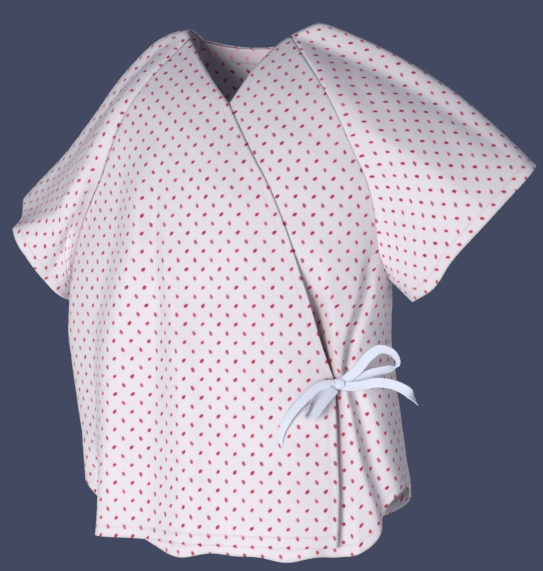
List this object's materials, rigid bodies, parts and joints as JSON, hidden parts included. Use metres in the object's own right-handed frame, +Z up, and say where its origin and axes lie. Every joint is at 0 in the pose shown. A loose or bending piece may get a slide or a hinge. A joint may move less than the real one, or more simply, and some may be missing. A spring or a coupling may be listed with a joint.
{
  "type": "patient gown",
  "caption": "Short wrap-front patient gown in printed cotton with raglan sleeves, a V neck, a curved hem and a white tape bow at the wearer's left side.",
  "frame": {"origin": "middle of the neck opening, level with the two high points of the shoulders, where the gown rests on the wearer", "axes": "+Z up, the front faces -Y, the wearer's left is +X"},
  "size_m": [0.7647, 0.2626, 0.7155],
  "materials": {
    "printed_cotton": "matte woven cotton with small two-tone red drops",
    "facing": "matte woven cotton, turned under",
    "thread": "sewing thread",
    "tape": "white cotton twill tape",
    "label": "plain white woven label with no text"
  },
  "bodies": {
    "gown_body": {"back_panel": "printed_cotton", "right_front_panel": "printed_cotton", "left_front_panel": "printed_cotton", "right_sleeve_head": "printed_cotton", "left_sleeve_head": "printed_cotton", "back_neck_facing": "facing", "right_front_facing": "facing", "left_front_facing": "facing", "care_label": "label", "back_hem_thread": "thread", "right_front_hem_thread": "thread", "left_front_hem_thread": "thread", "right_neck_thread": "thread", "back_neck_thread": "thread", "right_raglan_thread": "thread", "left_raglan_thread": "thread", "right_side_thread": "thread", "left_side_thread": "thread", "side_tie_loop": "tape", "side_tie_tail": "tape", "side_tie_tack": "thread"},
    "front_flap": {"right_front_flap": "printed_cotton", "flap_facing": "facing", "flap_hem_thread": "thread", "flap_edge_thread": "thread", "flap_tie_loop": "tape", "flap_tie_tail": "tape", "bow_knot": "tape", "flap_tie_tack": "thread"},
    "left_sleeve": {"left_sleeve": "printed_cotton", "left_cuff_thread": "thread"},
    "right_sleeve": {"right_sleeve": "printed_cotton", "right_cuff_thread": "thread"}
  },
  "joints": [
    {"name": "front_flap_open", "type": "hinge", "parent": "gown_body", "child": "front_flap", "pos_m": [0, -0.1543, -0.698], "axis": [-0.1594, -0.0277, -0.9868], "range_deg": [0, 110]},
    {"name": "left_sleeve_lift", "type": "hinge", "parent": "gown_body", "child": "left_sleeve", "pos_m": [0.2442, 0, -0.0681], "axis": [0, -1, 0], "range_deg": [0, 30]},
    {"name": "right_sleeve_lift", "type": "hinge", "parent": "gown_body", "child": "right_sleeve", "pos_m": [-0.2298, 0, -0.0836], "axis": [0, 1, 0], "range_deg": [0, 30]}
  ]
}
